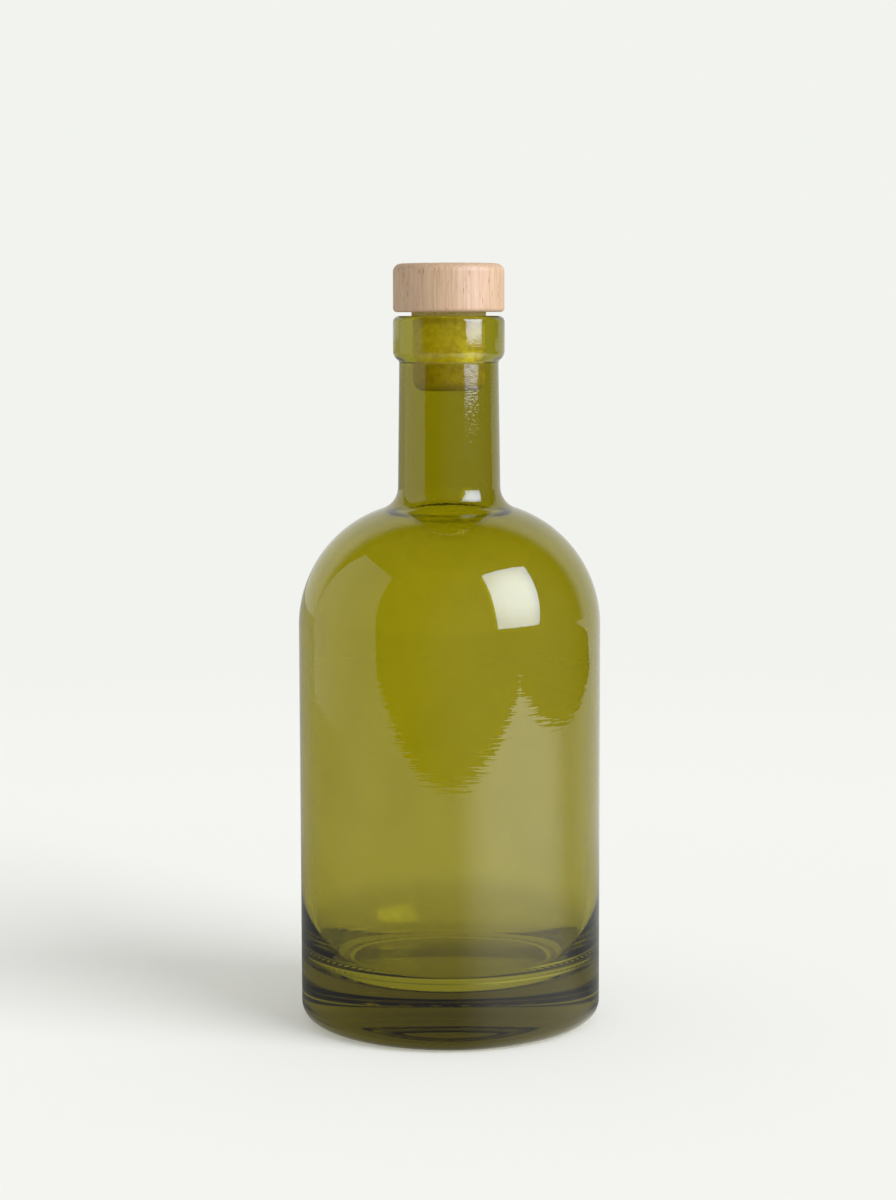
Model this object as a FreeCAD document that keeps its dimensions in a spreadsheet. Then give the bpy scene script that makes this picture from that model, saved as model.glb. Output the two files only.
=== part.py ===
# A round, thick-based glass spirits bottle, closed with a wooden bar-top stopper.
#
# It is three pieces: the bottle, blown in one piece of glass, the turned wooden head of
# the stopper, and the cork shank that is glued under the head and pushed into the bore.
# Millimetres. The origin is the centre of the base and +Z is the bottle's axis.
import FreeCAD, Part

import math
import os

import Sketcher
from FreeCAD import Vector

SIZES = [
    # The outside of the glass
    ("body_radius", 40.5, "outside of the straight wall"),
    ("glass_height", 189.8, "base to the top of the finish"),
    ("heel_radius", 5.0, "rounding between the wall and the base"),
    ("shoulder_start", 107.3, "height where the straight wall ends"),
    ("shoulder_radius", 33.0, "arc of the domed shoulder"),
    ("neck_root_radius", 6.1, "hollow between shoulder and neck"),
    ("neck_radius", 13.25, "neck just under the finish"),
    ("neck_taper", 0.7, "degrees by which the neck widens downwards"),
    ("finish_height", 12.0, "height of the thick ring at the mouth"),
    ("finish_width", 1.63, "how far that ring stands out from the neck"),
    ("finish_under_radius", 3.4, "round underside of the ring"),
    ("finish_top_radius", 1.6, "outer rounding at the top of the ring"),
    ("finish_root_radius", 1.0, "hollow where the ring meets the neck"),
    # The inside of the glass
    ("wall", 3.0, "thickness of the body and shoulder"),
    ("bore_radius", 9.7, "bore of the neck"),
    ("mouth_radius", 0.8, "rounding between the bore and the top"),
    ("throat_radius", 9.5, "rounding where the bore opens into the body"),
    ("floor_height", 15.0, "top of the inner floor at the axis"),
    ("floor_radius", 300.0, "crown of the inner floor"),
    ("inner_heel_radius", 11.0, "rounding between the inner wall and the floor"),
    ("gather_radius", 60.0, "gentle curve where the wall thickens above that rounding"),
    ("gather_turn", 11.0, "degrees by which that curve leans the wall lowers"),
    # The underside
    ("bearing_width", 5.0, "flat ring that the bottle stands on"),
    ("bearing_edge_radius", 1.5, "rounding at the inner edge of that ring"),
    ("push_up", 4.0, "rise of the domed base at the axis"),
    ("bar_count", 68, "short raised bars round the outer side of that ring"),
    ("gap_width", 1.7, "sunk gap between two bars"),
    ("gap_length", 2.1, "reach of a gap across the ring"),
    ("gap_margin", 0.3, "flat left between the gaps and the heel"),
    ("gap_depth", 0.4, "how deep the gaps are sunk"),
    # The stopper
    ("shank_length", 19.8, "depth of the shank below the mouth"),
    ("shank_clearance", 0.1, "radial room that keeps the squeezed shank off the bore"),
    ("shank_swell", 0.32, "how far the shank swells out above the bore"),
    ("shank_end_radius", 3.0, "rounding at the lower end of the shank"),
    ("head_gap", 1.0, "height of bare shank between glass and head"),
    ("head_radius", 14.8, "outside of the wooden head"),
    ("head_height", 12.8, "thickness of the wooden head"),
    ("head_top_radius", 2.2, "rounding at the top of the head"),
    ("head_under_radius", 1.0, "rounding at the underside of the head"),
]

doc = FreeCAD.newDocument("bottle")


# ---------------------------------------------------------------- the sheet of sizes

sheet = doc.addObject("Spreadsheet::Sheet", "sizes")
for row, (alias, value, meaning) in enumerate(SIZES, start=1):
    sheet.set("A%d" % row, alias)
    sheet.set("B%d" % row, str(value))
    sheet.setAlias("B%d" % row, alias)
    sheet.set("C%d" % row, meaning)
doc.recompute()


def size(alias):
    """The number that the sheet holds under a name."""
    return float(sheet.get(alias))


# ---------------------------------------------------------------- sketching helpers

START, END, CENTRE = 1, 2, 3
X_AXIS, Z_AXIS = -1, -2


def new_body(name):
    """A piece of the bottle or its stopper, which becomes one solid and one file."""
    body = doc.addObject("PartDesign::Body", name)
    body.Label = name
    return body


def origin_part(body, role):
    """One of the body's own origin planes or axes."""
    return [item for item in body.Origin.OriginFeatures if item.Role == role][0]


def section_sketch(body, name, plane="XZ_Plane"):
    """A sketch on a plane of the body; upright, its X is the radius and its Y the height."""
    sketch = body.newObject("Sketcher::SketchObject", name)
    sketch.AttachmentSupport = [(origin_part(body, plane), "")]
    sketch.MapMode = "FlatFace"
    return sketch


def line(sketch, start, end):
    """A straight side between two (radius, height) points."""
    return sketch.addGeometry(Part.LineSegment(Vector(*start, 0), Vector(*end, 0)), False)


def arc(sketch, centre, radius, first_degrees, last_degrees):
    """A round side, anticlockwise from its first angle to its last."""
    circle = Part.Circle(Vector(*centre, 0), Vector(0, 0, 1), radius)
    turn = Part.ArcOfCircle(circle, math.radians(first_degrees), math.radians(last_degrees))
    return sketch.addGeometry(turn, False)


def meet(sketch, *pairs):
    """Join the ends of sides: each pair is (side, its end, next side, its end)."""
    for pair in pairs:
        sketch.addConstraint(Sketcher.Constraint("Coincident", *pair))


def flow(sketch, *pairs):
    """Join the ends of sides so that one runs smoothly into the next."""
    for pair in pairs:
        sketch.addConstraint(Sketcher.Constraint("Tangent", *pair))


def level(sketch, *sides):
    for side in sides:
        sketch.addConstraint(Sketcher.Constraint("Horizontal", side))


def upright(sketch, *sides):
    for side in sides:
        sketch.addConstraint(Sketcher.Constraint("Vertical", side))


def on_axis(sketch, side, end, axis=Z_AXIS):
    """Keep a point on the bottle's axis, or on the base line when axis is X_AXIS."""
    sketch.addConstraint(Sketcher.Constraint("PointOnObject", side, end, axis))


def bind(sketch, name, constraint, formula):
    """Add a sized constraint and tie it to the sheet with a formula."""
    index = sketch.addConstraint(constraint)
    sketch.renameConstraint(index, name)
    sketch.setExpression("Constraints." + name, formula)


def bind_radius(sketch, name, side, value, formula):
    bind(sketch, name, Sketcher.Constraint("Radius", side, value), formula)


def bind_across(sketch, name, side, end, value, formula):
    """Set a point's distance from the axis."""
    bind(sketch, name, Sketcher.Constraint("DistanceX", -1, 1, side, end, value), formula)


def bind_height(sketch, name, side, end, value, formula):
    """Set a point's height above the sketch's base line."""
    bind(sketch, name, Sketcher.Constraint("DistanceY", -1, 1, side, end, value), formula)


def turned(body, kind, sketch, name):
    """Turn a half section through a full circle, to add it (Revolution) or cut it (Groove)."""
    feature = body.newObject("PartDesign::" + kind, name)
    feature.Profile = sketch
    feature.ReferenceAxis = (sketch, ["V_Axis"])
    feature.Angle = 360.0
    sketch.Visibility = False
    return feature


def round_edge(body, name, radius, height, formula):
    """Fillet the circular edge that lies at a radius and a height."""
    doc.recompute()
    base = body.Tip

    def miss(numbered):
        edge = numbered[1]
        if edge.Degenerated or not isinstance(edge.Curve, Part.Circle):
            return math.inf
        return abs(edge.Curve.Radius - radius) + abs(edge.Curve.Center.z - height)

    number = min(enumerate(base.Shape.Edges, start=1), key=miss)[0]
    fillet = body.newObject("PartDesign::Fillet", name)
    fillet.Base = (base, ["Edge%d" % number])
    fillet.setExpression("Radius", formula)
    return fillet


def tangent_height(line_radius, arc_radius, ring_radius, ring_centre):
    """Height of the centre of an arc that touches an upright line and the shoulder's ring."""
    across = line_radius + arc_radius - ring_centre[0]
    return ring_centre[1] + math.sqrt((ring_radius + arc_radius) ** 2 - across ** 2)


# ---------------------------------------------------------------- the glass bottle

def outer_profile(body):
    """Half section of the solid bottle: base, heel, wall, shoulder, neck and finish."""
    body_radius, heel = size("body_radius"), size("heel_radius")
    shoulder = size("shoulder_radius")
    ring = (body_radius - shoulder, size("shoulder_start"))
    neck, root = size("neck_radius"), size("neck_root_radius")
    root_height = tangent_height(neck, root, shoulder, ring)
    band, under = neck + size("finish_width"), size("finish_under_radius")
    lip, height = size("finish_top_radius"), size("glass_height")
    ledge = height - size("finish_height")
    contact = math.degrees(math.atan2(root_height - ring[1], neck + root - ring[0]))
    under_turn = math.degrees(math.acos(1 - size("finish_width") / under))

    sketch = section_sketch(body, "outer_profile")
    base = line(sketch, (0, 0), (body_radius - heel, 0))
    heel_arc = arc(sketch, (body_radius - heel, heel), heel, 270, 360)
    wall = line(sketch, (body_radius, heel), (body_radius, ring[1]))
    dome = arc(sketch, ring, shoulder, 0, contact)
    neck_root = arc(sketch, (neck + root, root_height), root, 180, 180 + contact)
    flare = (ledge - root_height) * math.tan(math.radians(size("neck_taper")))
    neck_side = line(sketch, (neck + flare, root_height), (neck, ledge))
    underside = arc(sketch, (band - under, ledge + under), under, -under_turn, 0)
    band_side = line(sketch, (band, ledge + under), (band, height - lip))
    lip_arc = arc(sketch, (band - lip, height - lip), lip, 0, 90)
    top = line(sketch, (band - lip, height), (0, height))
    axis = line(sketch, (0, height), (0, 0))

    on_axis(sketch, base, START)
    on_axis(sketch, base, START, X_AXIS)
    level(sketch, base, top)
    upright(sketch, wall, band_side, axis)
    flow(sketch, (base, END, heel_arc, START), (heel_arc, END, wall, START),
         (wall, END, dome, START), (dome, END, neck_root, END),
         (neck_root, START, neck_side, START), (underside, END, band_side, START),
         (band_side, END, lip_arc, START), (lip_arc, END, top, START))
    meet(sketch, (neck_side, END, underside, START), (top, END, axis, START),
         (axis, END, base, START))
    bind_across(sketch, "body", wall, END, body_radius, "sizes.body_radius")
    bind_height(sketch, "wall_top", wall, END, ring[1], "sizes.shoulder_start")
    bind_radius(sketch, "heel", heel_arc, heel, "sizes.heel_radius")
    bind_radius(sketch, "shoulder", dome, shoulder, "sizes.shoulder_radius")
    bind_radius(sketch, "neck_root", neck_root, root, "sizes.neck_root_radius")
    bind_across(sketch, "neck", neck_side, END, neck, "sizes.neck_radius")
    bind_height(sketch, "ledge", neck_side, END, ledge, "sizes.glass_height - sizes.finish_height")
    bind_across(sketch, "band", band_side, END, band, "sizes.neck_radius + sizes.finish_width")
    bind_radius(sketch, "underside", underside, under, "sizes.finish_under_radius")
    bind_radius(sketch, "lip", lip_arc, lip, "sizes.finish_top_radius")
    bind_height(sketch, "top", axis, START, height, "sizes.glass_height")
    bind(sketch, "taper", Sketcher.Constraint("Angle", Z_AXIS, START, neck_side, START, 0.0),
         "sizes.neck_taper * 1 deg")
    return sketch


def push_up_profile(body):
    """Half section of the hollow under the base: a shallow dome inside the bearing ring."""
    edge = size("body_radius") - size("heel_radius") - size("bearing_width")
    rise = size("push_up")
    crown = (edge ** 2 + rise ** 2) / (2 * rise)
    lean = math.degrees(math.asin(edge / crown))

    sketch = section_sketch(body, "push_up_profile")
    dome = arc(sketch, (0, rise - crown), crown, 90 - lean, 90)
    axis = line(sketch, (0, rise), (0, 0))
    base = line(sketch, (0, 0), (edge, 0))
    meet(sketch, (dome, END, axis, START), (axis, END, base, START), (base, END, dome, START))
    on_axis(sketch, base, START)
    on_axis(sketch, base, START, X_AXIS)
    on_axis(sketch, dome, CENTRE)
    upright(sketch, axis)
    level(sketch, base)
    bind_across(sketch, "edge", base, END, edge,
                "sizes.body_radius - sizes.heel_radius - sizes.bearing_width")
    bind_height(sketch, "rise", axis, START, rise, "sizes.push_up")
    return sketch


def gap_outline(body):
    """Plan of one gap between two bars: a short slot across the outer side of the ring."""
    far = size("body_radius") - size("heel_radius") - size("gap_margin")
    near = far - size("gap_length")
    half = size("gap_width") / 2

    sketch = section_sketch(body, "gap_outline", "XY_Plane")
    corners = [(near, -half), (far, -half), (far, half), (near, half)]
    lower, outer, upper, inner = [line(sketch, start, end)
                                  for start, end in zip(corners, corners[1:] + corners[:1])]
    meet(sketch, (lower, END, outer, START), (outer, END, upper, START),
         (upper, END, inner, START), (inner, END, lower, START))
    level(sketch, lower, upper)
    upright(sketch, outer)
    sketch.addConstraint(Sketcher.Constraint("Symmetric", inner, END, inner, START, X_AXIS))
    bind_across(sketch, "far", lower, END, far,
                "sizes.body_radius - sizes.heel_radius - sizes.gap_margin")
    bind(sketch, "length", Sketcher.Constraint("DistanceX", lower, START, lower, END, far - near),
         "sizes.gap_length")
    bind(sketch, "width", Sketcher.Constraint("DistanceY", outer, START, outer, END, 2 * half),
         "sizes.gap_width")
    return sketch


def cut_bars(body):
    """Sink one gap into the ring and repeat it, so that a bar is left between each two."""
    sketch = gap_outline(body)
    gap = body.newObject("PartDesign::Pocket", "gap")
    gap.Profile = sketch
    gap.Reversed = True
    gap.setExpression("Length", "sizes.gap_depth")
    sketch.Visibility = False
    doc.recompute()

    ring = body.newObject("PartDesign::PolarPattern", "bars")
    ring.Originals = [gap]
    ring.Axis = (origin_part(body, "Z_Axis"), [""])
    ring.Angle = 360.0
    ring.setExpression("Occurrences", "sizes.bar_count")
    body.Tip = ring


def cavity_profile(body):
    """Half section of the air inside: crowned floor, thickened foot, wall, dome, throat, bore."""
    radius = size("body_radius") - size("wall")
    shoulder = size("shoulder_radius") - size("wall")
    ring = (size("body_radius") - size("shoulder_radius"), size("shoulder_start"))
    bore, throat = size("bore_radius"), size("throat_radius")
    throat_height = tangent_height(bore, throat, shoulder, ring)
    contact = math.degrees(math.atan2(throat_height - ring[1], bore + throat - ring[0]))
    height, floor = size("glass_height"), size("floor_height")
    crown, corner = size("floor_radius"), size("inner_heel_radius")
    gather, turn = size("gather_radius"), size("gather_turn")
    across = radius - gather + (gather - corner) * math.cos(math.radians(turn))
    corner_height = floor - crown + math.sqrt((crown + corner) ** 2 - across ** 2)
    lean = math.degrees(math.asin(across / (crown + corner)))
    gather_height = corner_height + (gather - corner) * math.sin(math.radians(turn))

    sketch = section_sketch(body, "cavity_profile")
    floor_arc = arc(sketch, (0, floor - crown), crown, 90 - lean, 90)
    corner_arc = arc(sketch, (across, corner_height), corner, 270 - lean, 360 - turn)
    gather_arc = arc(sketch, (radius - gather, gather_height), gather, 360 - turn, 360)
    wall = line(sketch, (radius, gather_height), (radius, ring[1]))
    dome = arc(sketch, ring, shoulder, 0, contact)
    throat_arc = arc(sketch, (bore + throat, throat_height), throat, 180, 180 + contact)
    bore_side = line(sketch, (bore, throat_height), (bore, height))
    top = line(sketch, (bore, height), (0, height))
    axis = line(sketch, (0, height), (0, floor))
    rim = line(sketch, (radius - gather, gather_height), (radius, gather_height))
    slope = line(sketch, (radius - gather, gather_height), (across, corner_height))
    for helper in (rim, slope):
        sketch.setConstruction(helper, True)

    flow(sketch, (floor_arc, START, corner_arc, START), (corner_arc, END, gather_arc, START),
         (gather_arc, END, wall, START), (wall, END, dome, START), (dome, END, throat_arc, END),
         (throat_arc, START, bore_side, START))
    meet(sketch, (bore_side, END, top, START), (top, END, axis, START), (axis, END, floor_arc, END),
         (rim, START, gather_arc, CENTRE), (slope, START, gather_arc, CENTRE),
         (slope, END, corner_arc, CENTRE), (rim, END, wall, START))
    upright(sketch, wall, bore_side, axis)
    level(sketch, top)
    on_axis(sketch, axis, START)
    on_axis(sketch, floor_arc, CENTRE)
    bind_across(sketch, "inner_wall", wall, END, radius, "sizes.body_radius - sizes.wall")
    bind_height(sketch, "wall_top", wall, END, ring[1], "sizes.shoulder_start")
    bind_radius(sketch, "dome", dome, shoulder, "sizes.shoulder_radius - sizes.wall")
    bind_radius(sketch, "throat", throat_arc, throat, "sizes.throat_radius")
    bind_across(sketch, "bore", bore_side, END, bore, "sizes.bore_radius")
    bind_height(sketch, "top", axis, START, height, "sizes.glass_height")
    bind_height(sketch, "floor", axis, END, floor, "sizes.floor_height")
    bind_radius(sketch, "crown", floor_arc, crown, "sizes.floor_radius")
    bind_radius(sketch, "corner", corner_arc, corner, "sizes.inner_heel_radius")
    bind_radius(sketch, "gather", gather_arc, gather, "sizes.gather_radius")
    bind(sketch, "lean", Sketcher.Constraint("Angle", slope, START, rim, START, math.radians(turn)),
         "sizes.gather_turn * 1 deg")
    return sketch


def make_bottle():
    """The glass: turned outside and in, domed below, with a ring of bars to stand on."""
    body = new_body("bottle")
    turned(body, "Revolution", outer_profile(body), "outside")
    turned(body, "Groove", push_up_profile(body), "push_up")
    turned(body, "Groove", cavity_profile(body), "cavity")
    ledge = size("glass_height") - size("finish_height")
    bearing_edge = size("body_radius") - size("heel_radius") - size("bearing_width")
    round_edge(body, "finish_root", size("neck_radius"), ledge, "sizes.finish_root_radius")
    round_edge(body, "bearing_edge", bearing_edge, 0, "sizes.bearing_edge_radius")
    round_edge(body, "mouth", size("bore_radius"), size("glass_height"), "sizes.mouth_radius")
    cut_bars(body)
    return body


# ---------------------------------------------------------------- the stopper

def make_shank():
    """The cork: squeezed to the bore inside the neck, swollen above it, rounded below.

    Its own zero is the level of the glass mouth, and it reaches up to the head.
    """
    squeezed = size("bore_radius") - size("shank_clearance")
    free = squeezed + size("shank_swell")
    mouth, gap = size("mouth_radius"), size("head_gap")
    depth = size("shank_length")

    body = new_body("stopper_shank")
    sketch = section_sketch(body, "shank_profile")
    end = line(sketch, (0, -depth), (squeezed, -depth))
    side = line(sketch, (squeezed, -depth), (squeezed, -mouth))
    swell = line(sketch, (squeezed, -mouth), (free, 0))
    neck = line(sketch, (free, 0), (free, gap))
    top = line(sketch, (free, gap), (0, gap))
    axis = line(sketch, (0, gap), (0, -depth))

    ring = [end, side, swell, neck, top, axis, end]
    meet(sketch, *[(first, END, second, START) for first, second in zip(ring, ring[1:])])
    level(sketch, end, top)
    upright(sketch, side, neck, axis)
    on_axis(sketch, axis, START)
    on_axis(sketch, neck, START, X_AXIS)
    bind_height(sketch, "gap", axis, START, gap, "sizes.head_gap")
    bind(sketch, "depth", Sketcher.Constraint("DistanceY", axis, END, -1, 1, depth),
         "sizes.shank_length")
    bind(sketch, "mouth", Sketcher.Constraint("DistanceY", side, END, -1, 1, mouth),
         "sizes.mouth_radius")
    bind_across(sketch, "squeezed", side, END, squeezed, "sizes.bore_radius - sizes.shank_clearance")
    bind(sketch, "swell", Sketcher.Constraint("DistanceX", swell, START, swell, END, free - squeezed),
         "sizes.shank_swell")
    turned(body, "Revolution", sketch, "shank")
    round_edge(body, "end", squeezed, -depth, "sizes.shank_end_radius")
    body.setExpression("Placement.Base.z", "sizes.glass_height")
    return body


def make_head():
    """The turned wooden disc that the shank is glued to; its own zero is its underside."""
    radius, height = size("head_radius"), size("head_height")

    body = new_body("stopper_head")
    sketch = section_sketch(body, "head_profile")
    under = line(sketch, (0, 0), (radius, 0))
    side = line(sketch, (radius, 0), (radius, height))
    top = line(sketch, (radius, height), (0, height))
    axis = line(sketch, (0, height), (0, 0))
    ring = [under, side, top, axis, under]
    meet(sketch, *[(first, END, second, START) for first, second in zip(ring, ring[1:])])
    level(sketch, under, top)
    upright(sketch, side, axis)
    on_axis(sketch, under, START)
    on_axis(sketch, under, START, X_AXIS)
    bind_across(sketch, "radius", under, END, radius, "sizes.head_radius")
    bind_height(sketch, "height", side, END, height, "sizes.head_height")
    turned(body, "Revolution", sketch, "disc")
    round_edge(body, "top_edge", radius, height, "sizes.head_top_radius")
    round_edge(body, "under_edge", radius, 0, "sizes.head_under_radius")
    body.setExpression("Placement.Base.z", "sizes.glass_height + sizes.head_gap")
    return body


# ---------------------------------------------------------------- build, check and write

pieces = [make_bottle(), make_shank(), make_head()]
doc.recompute()

for item in doc.Objects:
    if "Invalid" in item.State or "Error" in item.State:
        raise RuntimeError("%s could not be built: %s" % (item.Name, item.State))
for piece in pieces:
    if piece.Shape.isNull() or not piece.Shape.isValid() or len(piece.Shape.Solids) != 1:
        raise RuntimeError("%s is not one sound solid" % piece.Label)

os.makedirs("parts", exist_ok=True)
for piece in pieces:
    piece.Shape.exportStep("parts/%s.step" % piece.Label)
    box = piece.Shape.BoundBox
    print("%-14s %9.1f mm3, z %.2f to %.2f" % (piece.Label, piece.Shape.Volume, box.ZMin, box.ZMax))
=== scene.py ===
import math

import bmesh
import bpy
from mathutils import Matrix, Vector


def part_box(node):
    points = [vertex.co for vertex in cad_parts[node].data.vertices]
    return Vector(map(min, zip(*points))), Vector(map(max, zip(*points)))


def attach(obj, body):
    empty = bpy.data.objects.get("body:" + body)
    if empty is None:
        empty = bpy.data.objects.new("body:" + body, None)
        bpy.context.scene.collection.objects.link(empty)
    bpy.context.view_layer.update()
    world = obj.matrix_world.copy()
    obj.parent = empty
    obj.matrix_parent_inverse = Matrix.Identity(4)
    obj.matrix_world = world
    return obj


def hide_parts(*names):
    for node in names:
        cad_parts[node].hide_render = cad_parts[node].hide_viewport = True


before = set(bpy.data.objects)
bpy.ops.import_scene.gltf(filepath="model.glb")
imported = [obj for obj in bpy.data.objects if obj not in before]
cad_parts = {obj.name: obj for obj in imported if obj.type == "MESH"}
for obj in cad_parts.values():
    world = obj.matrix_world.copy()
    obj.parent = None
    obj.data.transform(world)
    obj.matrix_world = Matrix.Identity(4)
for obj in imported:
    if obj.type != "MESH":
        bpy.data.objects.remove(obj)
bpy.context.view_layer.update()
MM = 0.001


# ---- The glass bottle --------------------------------------------------------------
# One piece of olive-green glass, blown in a two-part mould: a thick base pushed up under
# its middle, straight walls, a domed shoulder, a slim neck and a heavier ring round the
# mouth. The section through the glass is drawn once and spun about the bottle's axis.

low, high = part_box("bottle")
glass_height = high.z
body_radius = high.x

heel_radius = 5.0 * MM
shoulder_start = 107.3 * MM
shoulder_radius = 33.0 * MM
neck_root_radius = 6.1 * MM
neck_radius = 13.25 * MM
neck_taper = math.radians(0.7)
finish_height = 12.0 * MM
finish_width = 1.63 * MM
finish_under_radius = 3.4 * MM
finish_top_radius = 1.6 * MM
finish_root_radius = 1.0 * MM

wall = 3.0 * MM
bore_radius = 9.7 * MM
mouth_radius = 0.8 * MM
throat_radius = 9.5 * MM
curve_height = 34.3 * MM
curve_radius = 60.0 * MM
curve_turn = math.radians(11)
corner_radius = 11.0 * MM
floor_height = 15.0 * MM

bearing_radius = 30.5 * MM
bearing_edge_radius = 1.5 * MM
push_up = 4.0 * MM
bar_count = 68
bar_inner = 33.4 * MM
bar_outer = 36.8 * MM
bar_depth = 0.4 * MM


def arc(centre, radius, first, last, steps):
    """Points (radius, height) on a round stretch of the section, from one angle to another."""
    turn = math.radians(last - first) / steps
    angles = [math.radians(first) + turn * step for step in range(steps + 1)]
    return [(centre[0] + radius * math.cos(a), centre[1] + radius * math.sin(a)) for a in angles]


def even(start, end, steps):
    """Evenly spaced points on a straight stretch, both ends left out."""
    return [Vector(start).lerp(Vector(end), step / steps) for step in range(1, steps)]


def straight(start, end):
    """Two points just inside the ends of a straight stretch, to keep its shading flat."""
    guard = (Vector(end) - Vector(start)).normalized() * 0.3 * MM
    return [Vector(start) + guard, Vector(end) - guard]


def touching(line_radius, arc_radius, ring, ring_radius):
    """Height of an arc's centre where it touches an upright line and the shoulder's ring."""
    across = line_radius + arc_radius - ring[0]
    return ring[1] + math.sqrt((ring_radius + arc_radius) ** 2 - across ** 2)


def bearing_of(direction):
    """The angle of a direction in the section, from the radius towards the axis."""
    return math.degrees(math.atan2(direction.y, direction.x))


def glass_section():
    """The section from the middle of the base up the outside, and from the mouth down inside."""
    ring = (body_radius - shoulder_radius, shoulder_start)
    ledge = glass_height - finish_height
    flare = (ledge - shoulder_start - shoulder_radius) * math.tan(neck_taper)
    neck_foot = neck_radius + flare
    root_height = touching(neck_foot, neck_root_radius, ring, shoulder_radius)
    lean = math.degrees(math.atan2(root_height - ring[1], neck_foot + neck_root_radius - ring[0]))
    band = neck_radius + finish_width
    under_turn = math.acos(1 - finish_width / finish_under_radius)
    under = Vector((band - finish_under_radius, ledge + finish_under_radius * math.sin(under_turn)))
    notch = Vector((neck_radius + finish_root_radius, under.y))
    notch.y -= math.sqrt((finish_under_radius + finish_root_radius) ** 2 - (notch.x - under.x) ** 2)
    notch_turn = bearing_of(under - notch)

    crown = (bearing_radius ** 2 + push_up ** 2) / (2 * push_up)
    crown_centre = Vector((0, push_up - crown))
    edge = Vector((0, bearing_edge_radius))
    edge.x = math.sqrt((crown + bearing_edge_radius) ** 2 - (edge.y - crown_centre.y) ** 2)
    spread = bearing_of(edge - crown_centre)

    inner = body_radius - wall
    inner_dome = shoulder_radius - wall
    throat_height = touching(bore_radius, throat_radius, ring, inner_dome)
    throat_centre = bore_radius + throat_radius
    throat_lean = math.degrees(math.atan2(throat_height - ring[1], throat_centre - ring[0]))
    toe = math.degrees(curve_turn)
    drop = curve_radius - corner_radius
    corner = (inner - curve_radius + drop * math.cos(curve_turn),
              curve_height - drop * math.sin(curve_turn))
    # the crowned floor is an arc about the axis that touches the corner's arc from outside
    fall = floor_height - corner[1]
    floor_crown = (corner[0] ** 2 + fall ** 2 - corner_radius ** 2) / (2 * (fall + corner_radius))
    floor_lean = math.degrees(math.asin(corner[0] / (floor_crown + corner_radius)))

    outside = (
        arc(crown_centre, crown, 90, spread, 10)
        + arc(edge, bearing_edge_radius, spread + 180, 270, 3)[1:]
        + even((edge.x, 0), (body_radius - heel_radius, 0), 12)
        + arc((body_radius - heel_radius, heel_radius), heel_radius, 270, 360, 22)
        + straight((body_radius, heel_radius), (body_radius, ring[1]))
        + arc(ring, shoulder_radius, 0, lean, 40)
        + arc((neck_foot + neck_root_radius, root_height), neck_root_radius, 180 + lean, 180, 18)[1:]
        + straight((neck_foot, root_height), (neck_radius, notch.y))
        + arc(notch, finish_root_radius, 180, notch_turn, 8)
        + arc(under, finish_under_radius, notch_turn - 180, 0, 10)[1:]
        + arc((band - finish_top_radius, glass_height - finish_top_radius), finish_top_radius, 0, 90, 10)
    )
    inside = (
        arc((bore_radius + mouth_radius, glass_height - mouth_radius), mouth_radius, 90, 180, 8)
        + straight((bore_radius, glass_height - mouth_radius), (bore_radius, throat_height))
        + arc((throat_centre, throat_height), throat_radius, 180, 180 + throat_lean, 16)
        + arc(ring, inner_dome, throat_lean, 0, 34)[1:]
        + straight((inner, ring[1]), (inner, curve_height))
        + arc((inner - curve_radius, curve_height), curve_radius, 360, 360 - toe, 10)
        + arc(corner, corner_radius, 360 - toe, 270 - floor_lean, 18)[1:]
        + arc((0, floor_height - floor_crown), floor_crown, 90 - floor_lean, 90, 10)[1:]
    )
    return outside, inside


def knurled(form, bars, inner, outer, depth):
    """Sink the base between evenly spaced bars in a ring, so that the bars carry the bottle."""
    for vert in form.verts:
        radius = vert.co.xy.length
        if vert.co.z < depth and inner < radius < outer:
            across = math.sin(math.pi * (radius - inner) / (outer - inner))
            bar = 0.5 + 0.5 * math.cos(bars * math.atan2(vert.co.y, vert.co.x))
            vert.co.z += depth * across * (1 - bar ** 0.6)


def turned(name, outside, inside, steps):
    """Spin a section that starts and ends on the axis into one closed, smooth mesh.

    Its attribute "lining" is 1 on the inside and 0 on the outside.
    """
    form = bmesh.new()
    lining = form.verts.layers.float.new("lining")
    points = [form.verts.new((max(r, 0.0), 0.0, z)) for r, z in outside + inside]
    for point in points[len(outside):]:
        point[lining] = 1.0
    sides = [form.edges.new(pair) for pair in zip(points, points[1:])]
    bmesh.ops.spin(form, geom=points + sides, cent=(0, 0, 0), axis=(0, 0, 1),
                   angle=math.tau, steps=steps, use_merge=True)
    bmesh.ops.remove_doubles(form, verts=form.verts, dist=1e-7)
    knurled(form, bar_count, bar_inner, bar_outer, bar_depth)
    bmesh.ops.recalc_face_normals(form, faces=form.faces)
    for face in form.faces:
        face.smooth = True
    mesh = bpy.data.meshes.new(name)
    form.to_mesh(mesh)
    form.free()
    piece = bpy.data.objects.new(name, mesh)
    bpy.context.scene.collection.objects.link(piece)
    return piece


def arithmetic(tree, operation, first, second):
    """A Math node on two sockets or numbers."""
    node = tree.nodes.new("ShaderNodeMath")
    node.operation = operation
    for socket, value in zip(node.inputs, (first, second)):
        if isinstance(value, bpy.types.NodeSocket):
            tree.links.new(value, socket)
        else:
            socket.default_value = value
    return node.outputs[0]


def times(tree, first, second):
    """The product of two sockets or numbers."""
    return arithmetic(tree, "MULTIPLY", first, second)


def plus(tree, first, second):
    """The sum of two sockets or numbers."""
    return arithmetic(tree, "ADD", first, second)


def ramp(tree, value, start, end, low, high):
    """Carry a value from one range to another, smoothly and within bounds."""
    node = tree.nodes.new("ShaderNodeMapRange")
    node.interpolation_type = "SMOOTHSTEP"
    tree.links.new(value, node.inputs["Value"])
    for name, number in (("From Min", start), ("From Max", end), ("To Min", low), ("To Max", high)):
        node.inputs[name].default_value = number
    return node.outputs["Result"]


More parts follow.
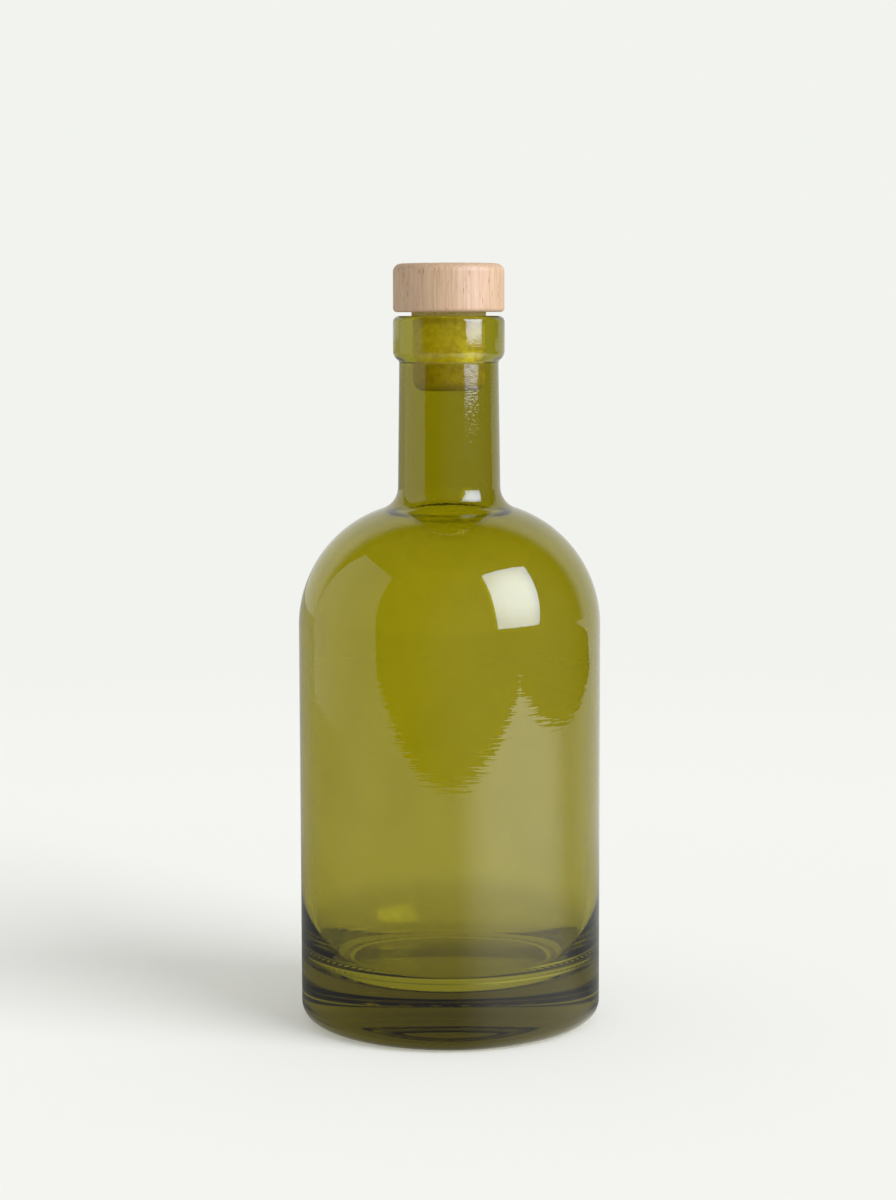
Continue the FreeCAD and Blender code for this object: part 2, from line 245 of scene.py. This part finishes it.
def surface(name, roughness):
    """A new material: its node tree, its shader, and the place on the piece as a vector."""
    material = bpy.data.materials.new(name)
    material.use_nodes = True
    tree = material.node_tree
    shader = tree.nodes["Principled BSDF"]
    shader.inputs["Roughness"].default_value = roughness
    return material, tree, shader, tree.nodes.new("ShaderNodeTexCoord").outputs["Object"]


def height_of(tree, place):
    """The height of a place above the table."""
    apart = tree.nodes.new("ShaderNodeSeparateXYZ")
    tree.links.new(place, apart.inputs["Vector"])
    return apart.outputs["Z"]


def noise(tree, place, size, detail, stretch=(1, 1, 1)):
    """Cloudy noise with features of a size, drawn out along an axis by its stretch."""
    mapping = tree.nodes.new("ShaderNodeMapping")
    mapping.inputs["Scale"].default_value = [1 / (size * along) for along in stretch]
    tree.links.new(place, mapping.inputs["Vector"])
    clouds = tree.nodes.new("ShaderNodeTexNoise")
    clouds.inputs["Scale"].default_value = 1.0
    clouds.inputs["Detail"].default_value = detail
    tree.links.new(mapping.outputs["Vector"], clouds.inputs["Vector"])
    return clouds.outputs["Fac"]


def blend(tree, factor, first, second, kind="MIX"):
    """Mix two colours, each a socket or a colour, by a factor."""
    node = tree.nodes.new("ShaderNodeMix")
    node.data_type = "RGBA"
    node.blend_type = kind
    sockets = (node.inputs[0], node.inputs[6], node.inputs[7])
    for socket, value in zip(sockets, (factor, first, second)):
        if isinstance(value, bpy.types.NodeSocket):
            tree.links.new(value, socket)
        else:
            socket.default_value = value
    return node.outputs[2]


def relief(tree, shader, height, depth):
    """Let a pattern of heights tilt the surface, each height counted as that depth."""
    bump = tree.nodes.new("ShaderNodeBump")
    bump.inputs["Distance"].default_value = depth
    tree.links.new(height, bump.inputs["Height"])
    tree.links.new(bump.outputs["Normal"], shader.inputs["Normal"])


body_deep = (0.590, 0.552, 0.085, 1)
body_pale = (0.624, 0.583, 0.115, 1)
neck_green = (0.525, 0.490, 0.022, 1)
finish_green = (0.640, 0.615, 0.150, 1)
foot_green = (0.420, 0.395, 0.080, 1)
lining_green = (0.480, 0.445, 0.060, 1)
depth_green = (0.783, 0.767, 0.0, 1)
clear = (1, 1, 1, 1)
swell_depth = 35e-6
ring_depth = 9e-6
pit_depth = 18e-6

green_glass, tree, shader, place = surface("green_glass", 0.0)
shader.inputs["IOR"].default_value = 1.52
shader.inputs["Transmission Weight"].default_value = 1.0
up = height_of(tree, place)
in_neck = ramp(tree, up, 128 * MM, 142 * MM, 0.0, 1.0)
in_finish = ramp(tree, up, 176 * MM, 179 * MM, 0.0, 1.0)
over_heel = ramp(tree, up, 7 * MM, 12 * MM, 0.0, 1.0)
under_wall = ramp(tree, up, 22 * MM, 34 * MM, 1.0, 0.0)
above_base = ramp(tree, up, 24 * MM, 36 * MM, 0.0, 1.0)

clouds = ramp(tree, noise(tree, place, 22 * MM, 3.0, (1, 1, 1.5)), 0.3, 0.7, 0.0, 1.0)
tints = blend(tree, clouds, body_deep, body_pale)
tints = blend(tree, in_neck, tints, neck_green)
tints = blend(tree, in_finish, tints, finish_green)
tints = blend(tree, times(tree, over_heel, under_wall), tints, foot_green)

# above the base the outer skin carries the tint of both faces of the wall, so the lining is clear
lining = tree.nodes.new("ShaderNodeAttribute")
lining.attribute_name = "lining"
skin = blend(tree, above_base, tints, blend(tree, 1.0, tints, tints, "MULTIPLY"))
inner_face = blend(tree, above_base, lining_green, clear)
tree.links.new(blend(tree, lining.outputs["Fac"], skin, inner_face), shader.inputs["Base Color"])

swell = times(tree, noise(tree, place, 14 * MM, 1.0), swell_depth)
rings = times(tree, noise(tree, place, 0.9 * MM, 1.0, (7, 7, 1)), ring_depth)
pitting = times(tree, noise(tree, place, 0.6 * MM, 1.0), times(tree, in_neck, pit_depth))
outer_wall = times(tree, above_base, arithmetic(tree, "SUBTRACT", 1.0, lining.outputs["Fac"]))
waves = plus(tree, plus(tree, swell, rings), pitting)
relief(tree, shader, times(tree, waves, outer_wall), 1.0)

tint = tree.nodes.new("ShaderNodeVolumeAbsorption")
tint.inputs["Color"].default_value = depth_green
tint.inputs["Density"].default_value = 120.0
tree.links.new(tint.outputs["Volume"], tree.nodes["Material Output"].inputs["Volume"])

glass = turned("glass_bottle", *glass_section(), bar_count * 6)
glass.data.materials.append(green_glass)
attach(glass, "root")
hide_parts("bottle")


# ---- The wooden head ---------------------------------------------------------------
# A disc of beech turned with its grain upright, its rims rounded and fine-sanded without a
# finish. It sits on the cork shank, a little above the mouth, and is what the hand pulls.

fleck_brown = (0.330, 0.150, 0.075, 1)


def dress(node, material):
    """Give a CAD node its material."""
    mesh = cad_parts[node].data
    mesh.materials.clear()
    mesh.materials.append(material)


beech, tree, shader, place = surface("beech", 0.55)
streaks = ramp(tree, noise(tree, place, 0.55 * MM, 4.0, (1, 1, 22)), 0.25, 0.75, 0.0, 1.0)
wood = blend(tree, streaks, (0.450, 0.280, 0.168, 1), (0.600, 0.418, 0.276, 1))
broad = ramp(tree, noise(tree, place, 7 * MM, 2.0, (1, 1, 4)), 0.3, 0.7, 0.0, 1.0)
wood = blend(tree, times(tree, broad, 0.35), wood, (0.500, 0.325, 0.205, 1))
cell_shape = tree.nodes.new("ShaderNodeMapping")
cell_shape.inputs["Scale"].default_value = (1 / (1.0 * MM), 1 / (1.0 * MM), 1 / (4.6 * MM))
tree.links.new(place, cell_shape.inputs["Vector"])
cells = tree.nodes.new("ShaderNodeTexVoronoi")
cells.inputs["Scale"].default_value = 1.0
tree.links.new(cell_shape.outputs["Vector"], cells.inputs["Vector"])
fleck = ramp(tree, cells.outputs["Distance"], 0.13, 0.25, 1.0, 0.0)
patchy = ramp(tree, noise(tree, place, 3.5 * MM, 1.0, (1, 1, 1.6)), 0.42, 0.60, 0.15, 0.9)
wood = blend(tree, times(tree, fleck, patchy), wood, fleck_brown)
tree.links.new(wood, shader.inputs["Base Color"])
relief(tree, shader, streaks, 30e-6)
dress("stopper_head", beech)


# ---- The cork shank ----------------------------------------------------------------
# Pressed cork granules with darker joints and a rounded lower end, painted paler than cork to stand in
# for the light that the glass lets through. It is squeezed into the bore of the neck and swells out
# again where it leaves the mouth.

cork, tree, shader, place = surface("cork", 0.75)
granules = tree.nodes.new("ShaderNodeTexVoronoi")
granules.inputs["Scale"].default_value = 1 / (1.2 * MM)
tree.links.new(place, granules.inputs["Vector"])
granule = tree.nodes.new("ShaderNodeSeparateColor")
tree.links.new(granules.outputs["Color"], granule.inputs["Color"])
# the granule colours are painted paler than real cork, to stand in for the light that reaches the shank
# through the glass
grains_with_painted_light = blend(tree, granule.outputs["Red"], (0.84, 0.68, 0.27, 1), (0.93, 0.79, 0.33, 1))
joints = ramp(tree, granules.outputs["Distance"], 0.45, 0.75, 0.0, 0.25)
grains_with_painted_light = blend(tree, joints, grains_with_painted_light, (0.42, 0.29, 0.10, 1))
tree.links.new(grains_with_painted_light, shader.inputs["Base Color"])
relief(tree, shader, granules.outputs["Distance"], 40e-6)
dress("stopper_shank", cork)


# ---- The paper and the room --------------------------------------------------------
# A sheet of white paper lies under the bottle and sweeps up behind it. It ends a little over half
# a metre to the right and 0.43 m in front, so the polished glass mirrors the dim room beyond it.
# Light that comes through the glass and light that it mirrors each have a level of their own; where the
# glass mirrors it, the paper carries a painted pool of lamp light and painted shade.

paper = (0.887, 0.896, 0.855, 1)
ambient = 0.62
front_light = 2.4
paper_half_width = 0.56
paper_front = -0.43
window_direction = (0.70, -0.71, 0.0)
painted_pool_direction = (0.77, -0.64, 0.0)


def light_path(tree, output):
    """Tells whether a ray of light is of the named kind."""
    return tree.nodes.new("ShaderNodeLightPath").outputs[output]


def mirror_ray(tree):
    """1 for light that a polished surface has mirrored, 0 for any other."""
    return times(tree, light_path(tree, "Is Glossy Ray"), light_path(tree, "Is Reflection Ray"))


def vector_maths(tree, operation, first, second=None):
    """A Vector Math node on a socket and, where it takes one, a fixed vector."""
    node = tree.nodes.new("ShaderNodeVectorMath")
    node.operation = operation
    tree.links.new(first, node.inputs[0])
    if second is not None:
        node.inputs[1].default_value = second
    return node


def room_level(tree, direction):
    """How brightly the dim room shows in a direction: most towards its window, front right."""
    facing = vector_maths(tree, "DOT_PRODUCT", direction, window_direction).outputs["Value"]
    return ramp(tree, facing, 0.2, 1.0, 0.04, 0.32)


world = bpy.data.worlds.new("studio")
bpy.context.scene.world = world
world.use_nodes = True
tree = world.node_tree
direction = tree.nodes.new("ShaderNodeTexCoord").outputs["Generated"]
compass = tree.nodes.new("ShaderNodeSeparateXYZ")
tree.links.new(direction, compass.inputs["Vector"])
seen = times(tree, light_path(tree, "Is Camera Ray"), 1 - ambient)
backdrop = ramp(tree, compass.outputs["Y"], 0.42, 0.62, 0.0, 0.9)
mirrored_room = arithmetic(tree, "SUBTRACT", plus(tree, room_level(tree, direction), backdrop), ambient)
beyond = ramp(tree, compass.outputs["Y"], -0.45, 0.0, front_light - ambient, 1 - ambient)
level = plus(tree, seen, times(tree, mirror_ray(tree), mirrored_room))
level = plus(tree, level, times(tree, light_path(tree, "Is Transmission Ray"), beyond))
level = plus(tree, level, ambient)
background = tree.nodes["Background"]
background.inputs["Color"].default_value = paper
tree.links.new(level, background.inputs["Strength"])

bpy.ops.mesh.primitive_plane_add(size=40)
floor = bpy.context.object
floor.name = "floor"
floor_paint, tree, matte, place = surface("floor", 1.0)
matte.inputs["Base Color"].default_value = (0.93, 0.93, 0.93, 1)
matte.inputs["Specular IOR Level"].default_value = 0.0
apart = tree.nodes.new("ShaderNodeSeparateXYZ")
tree.links.new(place, apart.inputs["Vector"])
reach = vector_maths(tree, "LENGTH", place).outputs["Value"]
outward = vector_maths(tree, "NORMALIZE", place).outputs["Vector"]
lamp_side = vector_maths(tree, "DOT_PRODUCT", outward, painted_pool_direction).outputs["Value"]

sweep = times(tree, arithmetic(tree, "SUBTRACT", apart.outputs["Y"], 0.30), 3.0)
right_edge = arithmetic(tree, "MAXIMUM", paper_half_width, sweep)
on_paper = times(tree, arithmetic(tree, "LESS_THAN", apart.outputs["X"], right_edge),
                 arithmetic(tree, "GREATER_THAN", apart.outputs["Y"], paper_front))
# where the glass mirrors it, the paper carries a painted pool of lamp light on the lamp's side, painted
# shade on the side away from the lamp, and painted shade close to the bottle
toward_lamp = ramp(tree, lamp_side, 0.66, 1.0, 0.95, 3.2)
away_from_lamp = ramp(tree, lamp_side, -1.0, -0.5, 0.5, 1.0)
painted_lamp_pool = times(tree, toward_lamp, away_from_lamp)
painted_shade_near_bottle = ramp(tree, reach, 0.04, 0.32, 0.35, 1.0)
painted_reflection_level = times(tree, times(tree, on_paper, painted_lamp_pool), painted_shade_near_bottle)
painted_reflection_level = arithmetic(tree, "MAXIMUM", painted_reflection_level, room_level(tree, outward))

mirrored = mirror_ray(tree)
strength = tree.nodes.new("ShaderNodeMix")
strength.data_type = "FLOAT"
tree.links.new(mirrored, strength.inputs["Factor"])
strength.inputs["A"].default_value = 1.0
tree.links.new(painted_reflection_level, strength.inputs["B"])
glow = tree.nodes.new("ShaderNodeEmission")
glow.inputs["Color"].default_value = paper
tree.links.new(strength.outputs["Result"], glow.inputs["Strength"])

# far from the bottle the paper glows evenly, so that it meets the background without a line
far = ramp(tree, reach, 0.30, 0.75, 0.28, 1.0)
through = times(tree, light_path(tree, "Is Transmission Ray"), 0.75)
glowing = arithmetic(tree, "MAXIMUM", arithmetic(tree, "MAXIMUM", far, through), mirrored)
mix = tree.nodes.new("ShaderNodeMixShader")
tree.links.new(glowing, mix.inputs["Fac"])
tree.links.new(matte.outputs["BSDF"], mix.inputs[1])
tree.links.new(glow.outputs["Emission"], mix.inputs[2])
tree.links.new(mix.outputs["Shader"], tree.nodes["Material Output"].inputs["Surface"])
floor.data.materials.append(floor_paint)


# ---- The lamp, the screen and the sun ----------------------------------------------
# A tall, slightly blue lamp stands at the right and a pale screen at the left, for the glass to
# mirror; the lamp also shows through it. A broad sun lights the paper and throws the soft shadow.

lamp_blue = (0.68, 0.75, 1.0, 1)


def around(azimuth, distance, height):
    """A place at an angle from the front, to the right, and a distance from the bottle."""
    turn = math.radians(azimuth)
    return (distance * math.sin(turn), -distance * math.cos(turn), height)


def card(name, corners, color, strength, fade, through_glass):
    """A glowing panel that fades to its rim, met by mirrored light and, if asked, through glass."""
    form = bmesh.new()
    form.faces.new([form.verts.new(around(*corner)) for corner in corners])
    mesh = bpy.data.meshes.new(name)
    form.to_mesh(mesh)
    form.free()
    panel = bpy.data.objects.new(name, mesh)
    bpy.context.scene.collection.objects.link(panel)
    paint = bpy.data.materials.new(name)
    paint.use_nodes = True
    tree = paint.node_tree
    tree.nodes.remove(tree.nodes["Principled BSDF"])
    place = tree.nodes.new("ShaderNodeTexCoord").outputs["Object"]
    centre = sum((vert.co for vert in mesh.vertices), Vector()) / len(mesh.vertices)
    reach = max((vert.co - centre).length for vert in mesh.vertices)
    apart = vector_maths(tree, "DISTANCE", place, centre).outputs["Value"]
    glow = tree.nodes.new("ShaderNodeEmission")
    glow.inputs["Color"].default_value = color
    level = ramp(tree, apart, 0.2 * reach, 0.9 * reach, strength, strength * fade)
    tree.links.new(level, glow.inputs["Strength"])
    tree.links.new(glow.outputs["Emission"], tree.nodes["Material Output"].inputs["Surface"])
    panel.data.materials.append(paint)
    panel.visible_camera = False
    panel.visible_diffuse = False
    panel.visible_transmission = through_glass
    panel.visible_volume_scatter = False
    panel.visible_shadow = False


card("lamp_card", [(35.8, 1.06, 0.171), (70, 1.06, 0.171), (86.4, 0.82, 0.954), (34.4, 0.82, 1.144)],
     color=lamp_blue, strength=14.5, fade=0.62, through_glass=True)
card("screen_card", [(-122, 0.66, 0.0), (-55.5, 0.68, 0.0), (-58, 0.66, 0.75), (-110, 0.60, 0.70)],
     color=clear, strength=0.85, fade=0.9, through_glass=False)

key_light = bpy.data.lights.new("key", "SUN")
key_light.energy = 3.0
key_light.angle = math.radians(45)
key = bpy.data.objects.new("key", key_light)
key.rotation_euler = (math.radians(62), 0, math.radians(56))
key.visible_glossy = False
key.visible_transmission = False
bpy.context.scene.collection.objects.link(key)


# ---- The camera --------------------------------------------------------------------
# It stands straight in front at the height of the mouth, looks down by a few degrees, and
# leans by a hair to one side.

look_down = math.radians(6.2)
lean_over = math.radians(0.15)

camera_data = bpy.data.cameras.new("camera")
camera_data.lens = 79.0
camera_data.sensor_width = 36.0
camera = bpy.data.objects.new("camera", camera_data)
camera.location = (-0.0002, -0.704, 0.1903)
camera.rotation_euler = (math.pi / 2 - look_down, lean_over, 0)
bpy.context.scene.collection.objects.link(camera)
bpy.context.scene.camera = camera

bpy.context.scene.view_settings.view_transform = "Standard"
